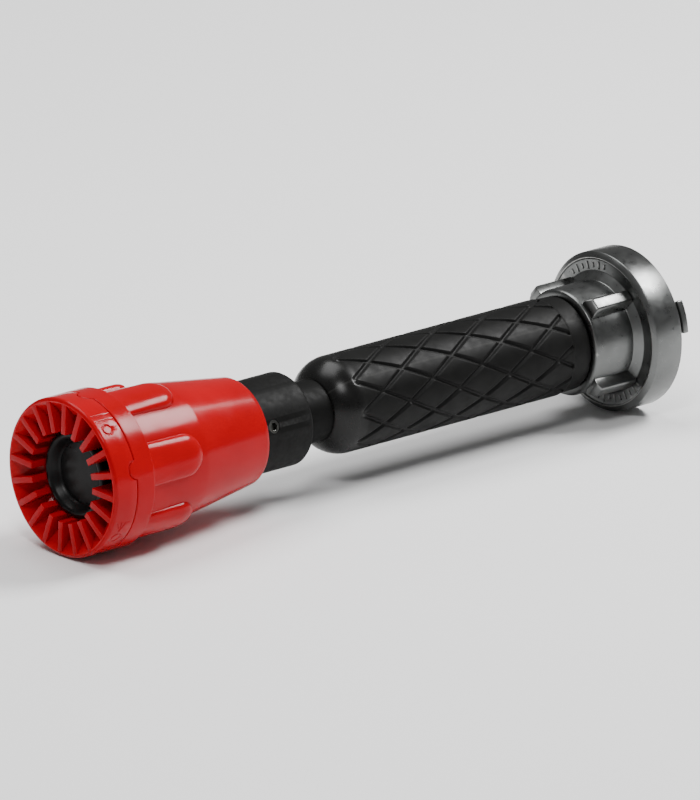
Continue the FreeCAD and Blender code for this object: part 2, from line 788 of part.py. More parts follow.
def valve_sleeve():
    """The keyed sleeve that slides in the body and carries the seat up to the baffle."""
    sleeve = turned_piece("valve_sleeve", [
        ("sleeve_start", "sleeve_bore"),
        ("sleeve_start", "piston_radius"),
        ("flange_start", "piston_radius"),
        ("flange_start", "flange_radius"),
        ("flange_end", "flange_radius"),
        ("flange_end", "nose_radius"),
        ("sleeve_end", "nose_radius"),
        ("sleeve_end", "seat_outer + fit_gap"),
        ("seat_start", "seat_outer + fit_gap"),
        ("seat_start", "sleeve_bore"),
    ])
    floor = "chamber_radius - 2 * cord_radius - fit_gap"
    spin(sleeve, "Groove", "sleeve_ring_groove", groove_outline("sleeve_ring_place", floor, "nose_radius"))
    slot_start = "key_place - close_travel - key_radius - play"
    slot = lay_sketch(sleeve, "key_slot_outline", turn="key_elevation - 90", lift="piston_radius - key_depth")
    draw_outline(slot, [
        (slot_start, "-key_radius - play / 2"),
        ("flange_start", "-key_radius - play / 2"),
        ("flange_start", "key_radius + play / 2"),
        (slot_start, "key_radius + play / 2"),
    ])
    key_slot = sleeve.newObject("PartDesign::Pocket", "key_slot")
    key_slot.Profile = slot
    key_slot.Reversed = True
    key_slot.setExpression("Length", formula("key_depth + play"))
    return sleeve


def seat_ring():
    """The steel seat in the front of the sleeve."""
    return turned_piece("seat_ring", [
        ("seat_start + touch_gap", "sleeve_bore"),
        ("seat_start + touch_gap", "seat_outer"),
        ("seat_face", "seat_outer"),
        ("seat_face", "seat_bore"),
    ])


# Head ----------------------------------------------------------------------------------------

def head_shell():
    """The red turning shell: a cone, six rounded finger ribs and a front band with five tabs."""
    shell = new_body("head_shell")
    spin(shell, "Revolution", "shell_turning", [
        ("head_start", "bearing_radius"),
        ("head_start", "head_back_radius - fit_gap * 4"),
        ("head_start + fit_gap * 8", "head_back_radius"),
        ("cone_end", "cone_radius"),
        ("head_band_start", "waist_radius"),
        ("head_band_start + band_bevel", "band_radius"),
        ("parting", "band_radius"),
        ("parting", "bearing_radius"),
    ])
    capsule = lay_sketch(shell, "finger_rib_outline")
    capsule.AttachmentOffset = FreeCAD.Placement(FreeCAD.Vector(), FreeCAD.Rotation(X_AXIS, value("rib_elevation")))
    capsule.setExpression("AttachmentOffset.Base.y", formula("rib_axis_radius * cos(rib_elevation)"))
    capsule.setExpression("AttachmentOffset.Base.z", formula("rib_axis_radius * sin(rib_elevation)"))
    draw_outline(capsule, [
        ("rib_centre - rib_round", "0"),
        ("rib_centre - rib_round * cos(60)", "rib_round * sin(60)"),
        ("rib_centre", "rib_round"),
        ("head_band_start + band_bevel", "rib_round"),
        ("head_band_start + band_bevel", "0"),
    ])
    rib = shell.newObject("PartDesign::Revolution", "finger_rib")
    rib.Profile = capsule
    rib.ReferenceAxis = (capsule, ["H_Axis"])
    rib.Angle = 360
    repeat(shell, [rib], 6)
    tab = radial(shell, "Pad", "key_tab", "parting - tab_setback", "tab_radius", "tab_elevation",
                 "jet_bore", "ring_depth + spigot_length")
    repeat(shell, [tab], 5)
    spin(shell, "Groove", "tab_trim", [
        ("parting - tab_radius - band_bevel", "band_radius"),
        ("parting - tab_radius - band_bevel", "band_radius + ring_depth"),
        ("head_end", "band_radius + ring_depth"),
        ("head_end", "band_radius"),
    ])
    spin(shell, "Groove", "shell_bore", [
        ("head_start - end_gap", "0"),
        ("head_start - end_gap", "bearing_radius"),
        ("wiper_place", "bearing_radius"),
        ("wiper_place", "bearing_radius + wiper_depth"),
        ("wiper_place + wiper_length", "bearing_radius + wiper_depth"),
        ("wiper_place + wiper_length", "bearing_radius"),
        ("bush_start - touch_gap", "bearing_radius"),
        ("bush_start - touch_gap", "bush_radius + fit_gap"),
        ("retainer_end + end_gap", "bush_radius + fit_gap"),
        ("retainer_end + end_gap", "jet_bore"),
        ("spigot_start", "jet_bore"),
        ("spigot_start", "spigot_radius + fit_gap"),
        ("head_end", "spigot_radius + fit_gap"),
        ("head_end", "0"),
    ])
    return shell


def front_ring():
    """The toothed front ring, spigoted into the shell and notched round its tabs."""
    ring = turned_piece("front_ring", [
        ("spigot_start + touch_gap", "jet_bore"),
        ("spigot_start + touch_gap", "spigot_radius"),
        ("parting + touch_gap", "spigot_radius"),
        ("parting + touch_gap", "band_radius"),
        ("head_end", "band_radius"),
        ("head_end", "band_radius - rim_wall"),
        ("head_end - funnel_depth", "jet_bore"),
    ])
    round_edge(ring, "front_rounding", "head_end", "band_radius", "front_edge")
    tooth = plate(ring, "tooth", [
        ("spigot_start + rim_wall", "tooth_inner"),
        ("head_end", "tooth_inner"),
        ("head_end", "tooth_outer"),
        ("head_end - rim_wall", "tooth_outer"),
        ("spigot_start + rim_wall", "jet_bore + rim_wall"),
    ], "tooth_width", turn="tab_elevation")
    repeat(ring, [tooth], 20)
    notch = radial(ring, "Pocket", "tab_notch", "parting - tab_setback", "tab_radius + running_gap",
                   "tab_elevation", "spigot_radius - play", "ring_depth")
    repeat(ring, [notch], 5)
    return ring


def cam_bush():
    """The brass bush pressed in the shell, with two lugs that ride in the body's cam grooves."""
    bush = turned_piece("cam_bush", [
        ("bush_start", "bearing_radius"),
        ("bush_start", "bush_radius"),
        ("bush_end", "bush_radius"),
        ("bush_end", "bearing_radius"),
    ])
    lug = radial(bush, "Pad", "lug", "lug_place", "lug_radius", "lug_elevation",
                 "collar_radius - lug_depth + play", "bush_radius - collar_radius + lug_depth - 2 * play")
    repeat(bush, [lug], 2)
    return bush


def head_retainer():
    """The threaded ring that holds the sleeve's flange in the head."""
    return turned_piece("head_retainer", [
        ("retainer_start", "nose_radius + play"),
        ("retainer_start", "bush_radius"),
        ("retainer_end", "bush_radius"),
        ("retainer_end", "nose_radius + play"),
    ])


def head_wiper():
    """The rubber ring that keeps grit out of the head's back bearing."""
    return turned_piece("head_wiper", [
        ("wiper_place + touch_gap", "bearing_radius"),
        ("wiper_place + touch_gap", "bearing_radius + wiper_depth - fit_gap"),
        ("wiper_place + wiper_length - touch_gap", "bearing_radius + wiper_depth - fit_gap"),
        ("wiper_place + wiper_length - touch_gap", "bearing_radius"),
    ])


def sealing_rings():
    """The three O-rings: tail in barrel, neck in body and sleeve in body."""
    middle = "(cord_radius + fit_gap / 2)"
    return [
        ring_of_cord("tail_o_ring", "tail_ring_place", f"tail_spigot_radius + fit_gap - {middle}"),
        ring_of_cord("neck_o_ring", "collar_ring_place", f"neck_radius + fit_gap - {middle}"),
        ring_of_cord("sleeve_o_ring", "sleeve_ring_place", f"chamber_radius - {middle}"),
    ]


def build_nozzle():
    """Build every piece of the nozzle."""
    fill_sheet()
    makers = [
        barrel_tube, inlet_tail, inlet_gasket, swivel_washer, snap_ring, grip_sleeve, claw_ring,
        valve_body, collar_set_screw, guide_key, stem_spider, stem_bolt, stem_spacer, stem_nut,
        baffle_disc, baffle_seal, baffle_cap, valve_sleeve, seat_ring, head_shell, front_ring,
        cam_bush, head_retainer, head_wiper,
    ]
    pieces = [make() for make in makers] + sealing_rings()
    DOCUMENT.recompute()
    return pieces


def check_document(pieces):
    """Stop if any feature failed or any piece has no sound solid."""
    for item in DOCUMENT.Objects:
        if "Invalid" in item.State or "Error" in item.State:
            raise RuntimeError(f"{item.Name} failed: {item.State}")
    for piece in pieces:
        shape = piece.Shape
        if shape.isNull() or not shape.isValid() or len(shape.Solids) != 1:
            raise RuntimeError(f"{piece.Label} is not one sound solid")


def write_parts(pieces):
    """Write each piece to its own STEP file."""
    os.makedirs("parts", exist_ok=True)
    for piece in pieces:
        piece.Shape.exportStep(f"parts/{piece.Label}.step")
        print(f"{piece.Label}: {piece.Shape.Volume:.0f} mm3")


nozzle = build_nozzle()
check_document(nozzle)
write_parts(nozzle)
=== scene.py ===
"""The looks of a twist-head fire hose nozzle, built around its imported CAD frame.

Lengths here are millimetres until mesh_object() turns them into metres.  The waterway lies along X,
and an elevation is an angle round it from +Y towards +Z, in degrees.
"""
import math

import bmesh
import bpy
import numpy as np
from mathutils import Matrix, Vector


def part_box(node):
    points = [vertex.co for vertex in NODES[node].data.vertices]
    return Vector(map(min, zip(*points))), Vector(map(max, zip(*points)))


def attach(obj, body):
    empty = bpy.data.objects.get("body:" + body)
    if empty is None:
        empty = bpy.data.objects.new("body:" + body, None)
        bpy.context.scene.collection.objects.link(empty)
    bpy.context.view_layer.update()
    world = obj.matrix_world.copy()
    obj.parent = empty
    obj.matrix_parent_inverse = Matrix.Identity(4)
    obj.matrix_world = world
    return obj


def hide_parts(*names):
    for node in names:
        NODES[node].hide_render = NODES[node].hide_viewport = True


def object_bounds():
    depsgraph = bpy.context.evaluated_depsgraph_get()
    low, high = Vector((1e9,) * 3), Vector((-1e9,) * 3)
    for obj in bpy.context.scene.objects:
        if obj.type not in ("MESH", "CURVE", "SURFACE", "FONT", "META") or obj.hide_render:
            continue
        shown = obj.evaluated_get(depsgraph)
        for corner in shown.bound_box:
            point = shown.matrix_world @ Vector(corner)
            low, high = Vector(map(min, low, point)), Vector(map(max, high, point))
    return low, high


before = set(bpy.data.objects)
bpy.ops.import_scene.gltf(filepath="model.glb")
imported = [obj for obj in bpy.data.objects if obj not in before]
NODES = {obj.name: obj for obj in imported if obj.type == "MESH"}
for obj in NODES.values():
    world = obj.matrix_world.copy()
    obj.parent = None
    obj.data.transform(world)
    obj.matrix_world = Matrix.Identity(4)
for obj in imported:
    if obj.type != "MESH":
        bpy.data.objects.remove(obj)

CAD_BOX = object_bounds()
MM = 0.001


def span(node):
    """The first and last place of a CAD node along X, in millimetres."""
    low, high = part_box(node)
    return low[0] / MM, high[0] / MM


def outer_radius(node):
    """The greatest reach of a CAD node to the side of the waterway, in millimetres."""
    low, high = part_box(node)
    return max(high[1], -low[1]) / MM


# Mesh building -------------------------------------------------------------------------------

def mesh_object(name, points, faces):
    """Make an object from points in millimetres."""
    mesh = bpy.data.meshes.new(name)
    mesh.from_pydata([tuple(float(c) * MM for c in point) for point in points], [], faces)
    mesh.validate()
    shape = bmesh.new()
    shape.from_mesh(mesh)
    bmesh.ops.recalc_face_normals(shape, faces=shape.faces)
    shape.to_mesh(mesh)
    shape.free()
    piece = bpy.data.objects.new(name, mesh)
    bpy.context.scene.collection.objects.link(piece)
    return piece


def join(name, pieces):
    """Join pieces into the first one and name it."""
    bpy.ops.object.select_all(action="DESELECT")
    for piece in pieces:
        piece.select_set(True)
    bpy.context.view_layer.objects.active = pieces[0]
    bpy.ops.object.join()
    pieces[0].name = name
    pieces[0].data.name = name
    return pieces[0]


def apply_modifiers(piece):
    """Turn a piece's modifiers into mesh."""
    graph = bpy.context.evaluated_depsgraph_get()
    shaped = bpy.data.meshes.new_from_object(piece.evaluated_get(graph))
    piece.modifiers.clear()
    piece.data = shaped


def smooth(piece, angle=35):
    """Shade smooth, with edges sharper than the angle kept crisp."""
    piece.data.shade_smooth()
    piece.data.set_sharp_from_angle(angle=math.radians(angle))


def round_edges(piece, width, segments=3, angle=28):
    """Round every edge sharper than the angle."""
    bevel = piece.modifiers.new("edges", "BEVEL")
    bevel.width = width * MM
    bevel.segments = segments
    bevel.limit_method = "ANGLE"
    bevel.angle_limit = math.radians(angle)
    bevel.harden_normals = False
    apply_modifiers(piece)
    smooth(piece)
    return piece


def lathe(name, corners, segments=192, start=0.0, sweep=360.0):
    """Turn a closed outline of (along, out) corners round the waterway, wholly or by a sector."""
    whole = sweep >= 360.0
    columns = segments if whole else max(3, int(segments * sweep / 360.0)) + 1
    count = len(corners)
    points = []
    for column in range(columns):
        steps = columns if whole else columns - 1
        angle = math.radians(start + sweep * column / steps)
        for along, out in corners:
            points.append((along, out * math.cos(angle), out * math.sin(angle)))
    faces = []
    for column in range(columns if whole else columns - 1):
        here = column * count
        there = (column + 1) % columns * count
        for row in range(count):
            after = (row + 1) % count
            faces.append((here + row, here + after, there + after, there + row))
    if not whole:
        faces.append(tuple(range(count)))
        faces.append(tuple(range((columns - 1) * count, columns * count)))
    piece = mesh_object(name, points, faces)
    weld(piece)
    return piece


def weld(piece, distance=0.002):
    """Merge points that coincide, as on the axis of a turned piece."""
    shape = bmesh.new()
    shape.from_mesh(piece.data)
    bmesh.ops.remove_doubles(shape, verts=shape.verts, dist=distance * MM)
    bmesh.ops.recalc_face_normals(shape, faces=shape.faces)
    shape.to_mesh(piece.data)
    shape.free()


def plate(name, corners, width, elevation):
    """A flat plate through the waterway's axis with an (along, out) outline."""
    angle = math.radians(elevation)
    out_way = np.array((0.0, math.cos(angle), math.sin(angle)))
    side_way = np.array((0.0, -math.sin(angle), math.cos(angle)))
    points = []
    for side in (-width / 2, width / 2):
        for along, out in corners:
            points.append(np.array((along, 0.0, 0.0)) + out_way * out + side_way * side)
    count = len(corners)
    faces = [tuple(range(count)), tuple(range(count, 2 * count))]
    for row in range(count):
        after = (row + 1) % count
        faces.append((row, after, count + after, count + row))
    return mesh_object(name, points, faces)


def quarter_round(end, radius, size):
    """The points of a rounded corner between an outer wall and a front face."""
    points = []
    for turn in np.linspace(0.0, math.pi / 2, 9):
        points.append((end - size + size * math.sin(turn), radius - size + size * math.cos(turn)))
    return points


def skin(name, along, out, turns):
    """A closed wall from tables of place and radius: a row of rings, each joined to the next."""
    rings, columns = along.shape
    points = np.stack((along, out * np.cos(turns), out * np.sin(turns)), axis=-1).reshape(-1, 3)
    faces = []
    for ring in range(rings):
        here = ring * columns
        there = (ring + 1) % rings * columns
        for column in range(columns):
            after = (column + 1) % columns
            faces.append((here + column, here + after, there + after, there + column))
    return mesh_object(name, points, faces)


def smooth_step(low, high, values):
    """Ramp smoothly from 0 at low to 1 at high."""
    share = np.clip((values - low) / (high - low), 0.0, 1.0)
    return share * share * (3.0 - 2.0 * share)


def away_from(angles, centre, step):
    """The angle from the nearest of a row of directions, all in degrees."""
    return (angles - centre + step / 2) % step - step / 2


# Grip ----------------------------------------------------------------------------------------

GRIP_COLUMNS = 420
GROOVE_HANDS = 9                 # grooves of each hand round the grip
GROOVE_LEAD = 199.0              # length of one full turn of a groove
GROOVE_CROSSING = (111.8, 43.3)  # a crossing's place along the grip and its elevation
GROOVE_HALF_WIDTH = 0.78
GROOVE_DEPTH = 0.8
GRIP_BORE = 12.8
GRIP_LIP_BORE = 10.8             # where the shoulder closes round the barrel's neck
BAND_LENGTH = 7.5                # plain rubber behind the diamonds
BAND_DROP = 0.6                  # how far the band lies below the diamonds
GROOVE_FADE = 2.6                # length over which the grooves die out on the shoulder
SHOULDER_LENGTH = 10.0
SHOULDER_BULGE = 13.2            # half length of the ellipse that rounds the shoulder


def grip_profile(start, end, radius):
    """The grip's outline without grooves, from the back band to the lip over the neck."""
    band_end = start + BAND_LENGTH
    shoulder = end - SHOULDER_LENGTH
    rows = [(start, GRIP_BORE + 0.2), (start, radius - BAND_DROP - 0.3), (start + 0.3, radius - BAND_DROP)]
    for place in np.linspace(start + 1.0, band_end - 0.5, 8):
        rows.append((place, radius - BAND_DROP + 0.3 * (place - start) / BAND_LENGTH))
    rows += [(band_end, radius - 0.32), (band_end + 0.5, radius - 0.05), (band_end + 0.8, radius)]
    for place in np.arange(band_end + 1.2, shoulder, 0.4):
        rows.append((place, radius))
    for turn in np.linspace(0.0, math.asin(SHOULDER_LENGTH / SHOULDER_BULGE), 24):
        rows.append((shoulder + SHOULDER_BULGE * math.sin(turn), radius * math.cos(turn)))
    rows += [(end, GRIP_LIP_BORE), (end - 1.0, GRIP_LIP_BORE), (start + 1.0, GRIP_BORE), (start, GRIP_BORE)]
    return np.array(rows), band_end + 0.6, shoulder


def groove_depth(along, turns, start, end):
    """How deep the crossing grooves are at each point of the grip."""
    place, elevation = GROOVE_CROSSING
    step = 360.0 / GROOVE_HANDS
    radius = outer_radius("grip_sleeve")
    slope = math.atan(2 * math.pi * radius / GROOVE_LEAD)
    depth = np.zeros_like(along)
    for hand in (-1.0, 1.0):
        drift = elevation + hand * 360.0 * (along - place) / GROOVE_LEAD
        turned = np.radians(away_from(np.degrees(turns), drift, step))
        distance = np.abs(turned) * radius * math.cos(slope)
        wall = smooth_step(GROOVE_HALF_WIDTH - 0.42, GROOVE_HALF_WIDTH + 0.12, distance)
        depth = np.maximum(depth, GROOVE_DEPTH * (1.0 - wall))
    inside = smooth_step(start, start + 0.25, along) * (1.0 - smooth_step(end, end + GROOVE_FADE, along))
    return depth * inside


def build_grip():
    """The rubber grip with its diamond grooves."""
    start, end = span("grip_sleeve")
    rows, first_groove, shoulder = grip_profile(start, end, outer_radius("grip_sleeve"))
    angles = np.linspace(0.0, 2 * math.pi, GRIP_COLUMNS, endpoint=False)
    along, turns = np.meshgrid(rows[:, 0], angles, indexing="ij")
    out = np.repeat(rows[:, 1:2], GRIP_COLUMNS, axis=1)
    outside = out > GRIP_BORE + 1.2
    out = out - np.where(outside, groove_depth(along, turns, first_groove, shoulder), 0.0)
    grip = skin("grip_rubber_sleeve", along, out, turns)
    smooth(grip, 50)
    return grip


# Head ----------------------------------------------------------------------------------------

HEAD_COLUMNS = 720
RIB_ELEVATION = 15.0
RIB_HALF_TURN = 17.3             # half of the angle that a finger rib takes up
RIB_CREST = 26.4                 # how far out the ribs reach
RIB_END_LENGTH = 6.9             # length of each rib's rounded back end
RIB_SQUARENESS = 2.5             # 2 gives an elliptical rib and more gives steeper sides
BAND_WIDTH = 8.55                # width of the shell's own band behind the parting line
BAND_FOOT = 25.9                 # radius at the foot of the band's step
CONE_END = 207.3                 # where the cone meets the waist between the ribs
CONE_RADIUS = 23.1
WAIST_RADIUS = 24.5
RIB_SETBACK = 24.7               # from the parting line to the ribs' rounded ends
TAB_ELEVATION = 15.3
TAB_RADIUS = 3.3
TAB_SETBACK = 0.5                # how far the tabs' centres lie behind the parting line
TAB_COUNT = 5
SEAM = 0.12                      # half the gap at the parting line
BEARING_BORE = 18.1
BACK_BORE = 16.4
JET_BORE = 15.8
SPIGOT_BORE = 22.3
SPIGOT_LENGTH = 5.7


def parting_line(turns, parting, radius):
    """Where the shell meets the front ring: straight, with round tabs that reach forward."""
    aside = np.radians(away_from(np.degrees(turns), TAB_ELEVATION, 360.0 / TAB_COUNT)) * radius
    reach = np.sqrt(np.clip(TAB_RADIUS ** 2 - aside ** 2, 0.0, None)) - TAB_SETBACK
    return parting + np.clip(reach, 0.0, None)


def finger_rib(along, turns, cone, rib_start):
    """The reach of the rounded finger ribs, which rise steeply from the cone."""
    aside = away_from(np.degrees(turns), RIB_ELEVATION, 60.0) / RIB_HALF_TURN
    behind = np.clip(rib_start - along, 0.0, None) / RIB_END_LENGTH
    way_out = np.clip(np.hypot(aside, behind), 0.0, 1.0)
    return cone + (RIB_CREST - cone) * (1.0 - way_out ** RIB_SQUARENESS) ** (1.0 / RIB_SQUARENESS)


def parting_place():
    """The place of the parting line, away from the tabs."""
    return span("head_shell")[1] - (TAB_RADIUS - TAB_SETBACK)


def build_shell():
    """The red head shell with finger ribs, band and parting-line tabs."""
    start, _ = span("head_shell")
    parting = parting_place()
    band_radius = outer_radius("head_shell")
    band = parting - BAND_WIDTH
    places = [start, start, start + 0.15, start + 0.5]
    places += list(np.arange(start + 1.5, 206.0, 1.5))
    places += list(np.arange(206.0, 219.0, 0.3))
    places += list(np.arange(219.0, band - 0.5, 0.6))
    places += list(np.linspace(band - 0.3, band + 1.6, 14))
    places += list(np.linspace(band + 1.9, parting - 4.0, 5))
    warped = len(places)
    places += list(np.linspace(parting - 3.6, parting - 0.25, 10)) + [parting - 0.1, parting, parting]
    angles = np.linspace(0.0, 2 * math.pi, HEAD_COLUMNS, endpoint=False)
    along, turns = np.meshgrid(np.array(places), angles, indexing="ij")
    cone = np.interp(along, [start, start + 0.5, CONE_END, band], [18.4, 18.7, CONE_RADIUS, WAIST_RADIUS])
    out = finger_rib(along, turns, cone, parting - RIB_SETBACK)
    step = BAND_FOOT + (band_radius - BAND_FOOT) * smooth_step(band - 0.1, band + 1.2, along)
    out = np.where(along > band - 0.1, np.maximum(out, step), out)
    line = parting_line(turns, parting, band_radius) - SEAM
    share = np.zeros_like(along)
    share[warped:] = ((along[warped:] - (parting - 4.0)) / 4.0).clip(0.0, 1.0)
    along = along + share * (line - parting)
    out[-3] = band_radius - 0.08
    out[-2] = band_radius - 0.25
    out[-1] = SPIGOT_BORE
    out[0] = BACK_BORE
    out[1] = 18.0
    bush_start = span("cam_bush")[0] - 0.05
    retainer_end = span("head_retainer")[1] + 0.3
    inner = np.array([(parting - SPIGOT_LENGTH, SPIGOT_BORE), (parting - SPIGOT_LENGTH, JET_BORE),
                      (retainer_end, JET_BORE), (retainer_end, BEARING_BORE),
                      (bush_start, BEARING_BORE), (bush_start, BACK_BORE)])
    inner_along = np.repeat(inner[:, 0:1], HEAD_COLUMNS, axis=1)
    inner_out = np.repeat(inner[:, 1:2], HEAD_COLUMNS, axis=1)
    inner_turns = np.repeat(angles[None, :], len(inner), axis=0)
    shell = skin("head_shell_skin", np.vstack((along, inner_along)), np.vstack((out, inner_out)),
                 np.vstack((turns, inner_turns)))
    smooth(shell, 38)
    return shell


# Front ring ----------------------------------------------------------------------------------

TEETH = 20
TOOTH_WIDTH = 2.2
TOOTH_INNER = 15.3               # radius at the teeth's free edges
RIM_WALL = 1.5
FUNNEL_DEPTH = 9.2
RING_COLUMNS = 1080
EDGE_ROUND = 1.3
MARK_DEPTH = 0.28
SHUT_MARKS = (55.0,)             # elevations of the engraved marks
SPRAY_MARKS = (-31.0,)


def ring_mark(across, along):
    """How near a point is to a small engraved circle, in millimetres."""
    return np.abs(np.hypot(across, along) - 1.8)


def bar_mark(across, along, place, half_length):
    """How near a point is to a short engraved bar, in millimetres."""
    return np.hypot(across - place, np.clip(np.abs(along) - half_length, 0.0, None))


def pictograms(along, turns, middle, radius):
    """How deep the generic marks for shut and for spray are engraved in the ring."""
    near = np.full_like(along, 9.0)
    for elevation in SHUT_MARKS:
        across = np.radians(away_from(np.degrees(turns), elevation, 360.0)) * radius
        near = np.minimum(near, ring_mark(across + 3.2, along - middle))
        near = np.minimum(near, bar_mark(across, along - middle, 0.6, 2.2))
        near = np.minimum(near, bar_mark(across, along - middle, 3.0, 2.2))
    for elevation in SPRAY_MARKS:
        across = np.radians(away_from(np.degrees(turns), elevation, 360.0)) * radius
        near = np.minimum(near, ring_mark(across + 2.6, along - middle))
        for spread in (-0.5, 0.0, 0.5):
            fanned = (along - middle) - spread * (across - 0.4)
            beyond = np.clip(np.abs(across - 2.2) - 1.8, 0.0, None)
            near = np.minimum(near, np.hypot(fanned, beyond))
    return MARK_DEPTH * (1.0 - smooth_step(0.12, 0.42, near))


def build_front_ring():
    """The toothed front ring: a rim with engraved marks, a funnel and twenty teeth."""
    end = span("front_ring")[1]
    radius = outer_radius("front_ring")
    parting = parting_place()
    edge = quarter_round(end, radius, EDGE_ROUND)
    rim = [(place, radius) for place in np.linspace(parting + 3.4, end - 1.5, 34)]
    funnel = [(end - 0.1, radius - RIM_WALL), (end - FUNNEL_DEPTH, JET_BORE + 0.1),
              (end - FUNNEL_DEPTH - 0.4, JET_BORE)]
    behind = [(parting, SPIGOT_BORE - 0.05), (parting, radius - 0.2),
              (parting + 0.12, radius - 0.05), (parting + 0.3, radius)]
    corners = behind + rim + edge + [(end, radius - RIM_WALL + 0.2)] + funnel
    spigot_start = parting - SPIGOT_LENGTH + 0.1
    spigot_radius = SPIGOT_BORE - 0.4
    corners += [(spigot_start, JET_BORE), (spigot_start, spigot_radius), (parting - 0.1, spigot_radius)]
    rows = np.array(corners)
    angles = np.linspace(0.0, 2 * math.pi, RING_COLUMNS, endpoint=False)
    along, turns = np.meshgrid(rows[:, 0], angles, indexing="ij")
    out = np.repeat(rows[:, 1:2], RING_COLUMNS, axis=1)
    shift = parting_line(turns[0], parting, radius) + SEAM - parting
    along[:len(behind)] = along[:len(behind)] + shift
    marked = slice(len(behind), len(behind) + len(rim))
    middle = (parting + end + 1.0) / 2
    out[marked] = out[marked] - pictograms(along[marked], turns[marked], middle, radius)
    ring = skin("front_ring_skin", along, out, turns)
    smooth(ring, 38)
    teeth = []
    for number in range(TEETH):
        teeth.append(build_tooth(end, radius, TAB_ELEVATION + 360.0 / TEETH * number))
    return join("front_ring_skin", [ring] + teeth)


def build_tooth(end, radius, elevation):
    """One tooth, with its edges rounded."""
    front = end - 0.02
    root = radius - RIM_WALL + 0.2
    tooth = plate("tooth", [
        (end - 13.4, 16.6), (end - 13.0, TOOTH_INNER), (front, TOOTH_INNER), (front, root),
        (end - 1.7, root), (end - 10.0, 17.2),
    ], TOOTH_WIDTH, elevation)
    return round_edges(tooth, 0.2)


# Baffle, collar and barrel -------------------------------------------------------------------

BAFFLE_ROUND = 1.5
BAFFLE_FLOOR = 2.3
STEM_BORE = 3.05
BOLT_HEAD_BORE = 5.05
SEAL_SEAT_INNER = 11.15
SEAL_SEAT_OUTER = 13.95
SEAL_SEAT_DEPTH = 1.2


def build_baffle():
    """The black baffle: a thick rounded rim that slopes in to a flat floor."""
    start, end = span("baffle_disc")
    plate_back = span("baffle_seal")[0] + 0.15
    floor = span("baffle_cap")[1]
    cap_radius = outer_radius("baffle_cap") + 0.05
    radius = outer_radius("baffle_disc")
    rim = quarter_round(end, radius, BAFFLE_ROUND)
    slope = [(end - 0.08, radius - 1.9), (end - 0.3, radius - 2.25), (end - 0.8, radius - 2.7),
             (floor + 1.0, cap_radius + 0.75), (floor + 0.35, cap_radius + 0.4), (floor, cap_radius)]
    seal_floor = plate_back + SEAL_SEAT_DEPTH
    bolt_seat = plate_back + BAFFLE_FLOOR
    back = [(start, STEM_BORE), (start, 4.6), (plate_back, 5.8), (plate_back, SEAL_SEAT_INNER),
            (seal_floor, SEAL_SEAT_INNER), (seal_floor, SEAL_SEAT_OUTER),
            (plate_back + 0.6, SEAL_SEAT_OUTER), (plate_back + 3.4, radius)]
    dish = [(bolt_seat, cap_radius), (bolt_seat, BOLT_HEAD_BORE), (plate_back, BOLT_HEAD_BORE),
            (plate_back, STEM_BORE)]
    baffle = lathe("baffle_body", back + rim + slope + dish)
    smooth(baffle, 40)
    return baffle


def build_cap():
    """The flat cap in the floor of the baffle's dish."""
    start, end = span("baffle_cap")
    radius = outer_radius("baffle_cap")
    cap = lathe("baffle_front_cap", [(start, 0.0), (start, radius), (end - 0.3, radius),
                                     (end - 0.08, radius - 0.1), (end, radius - 0.4), (end, 0.0)])
    smooth(cap, 40)
    return cap


# Storz claw ring -----------------------------------------------------------------------------

CLAW_ELEVATION = 17.6
CLAW_SPREAD = 28.0
SLOT_SPREAD = 40.0
WRENCH_ELEVATION = 49.0
WRENCH_RADIUS = 22.0
WRENCH_WIDTH = 7.0               # at the foot; the draft narrows the crest
WRENCH_DRAFT = 0.40
RING_FACE = 12.1                 # the front face of the rim
RIM_SHOULDER = 10.8
HUB_RADIUS = 18.3
HUB_BORE = 14.9
TAIL_BORE = 13.08
CAVITY_RADIUS = 24.5
CLAW_INNER = 15.5
HOOK_RADIUS = 23.7
HOOK_LENGTH = 2.4
LIP_RADIUS = 20.0
LIP_LENGTH = 3.5
MARK_RADIUS = 23.0
CAST_MARKS = ((108.0, 7), (-66.0, 9))  # middle elevation and number of bars in each row


def wrench_rib(hub_end, elevation):
    """One cast wrench rib with drafted sides and a sloping front end."""
    back = RING_FACE - 0.4
    front = hub_end - 1.2
    rib = plate("wrench_rib", [
        (back, 16.5), (back, WRENCH_RADIUS), (hub_end - 2.6, WRENCH_RADIUS), (front, 20.0), (front, 16.5),
    ], WRENCH_WIDTH, elevation)
    angle = math.radians(elevation)
    side_way = Vector((0.0, -math.sin(angle), math.cos(angle)))
    for vertex in rib.data.vertices:
        reach = math.hypot(vertex.co.y, vertex.co.z)
        if reach > (WRENCH_RADIUS - 1.0) * MM:
            vertex.co -= side_way * vertex.co.dot(side_way) * WRENCH_DRAFT
    return round_edges(rib, 0.6)


def cast_marks(elevation, count):
    """A row of plain raised bars on the casting's front face."""
    marks = []
    for number in range(count):
        turn = elevation + 7.0 * (number - (count - 1) / 2)
        reach = 1.4 if number % 2 else 0.9
        inner, outer = MARK_RADIUS - reach, MARK_RADIUS + reach
        back, front = RING_FACE - 0.8, RING_FACE - 0.2
        mark = plate("cast_mark", [(back, inner), (front, inner), (front, outer), (back, outer)], 0.7, turn)
        marks.append(round_edges(mark, 0.12, segments=2))
    return marks


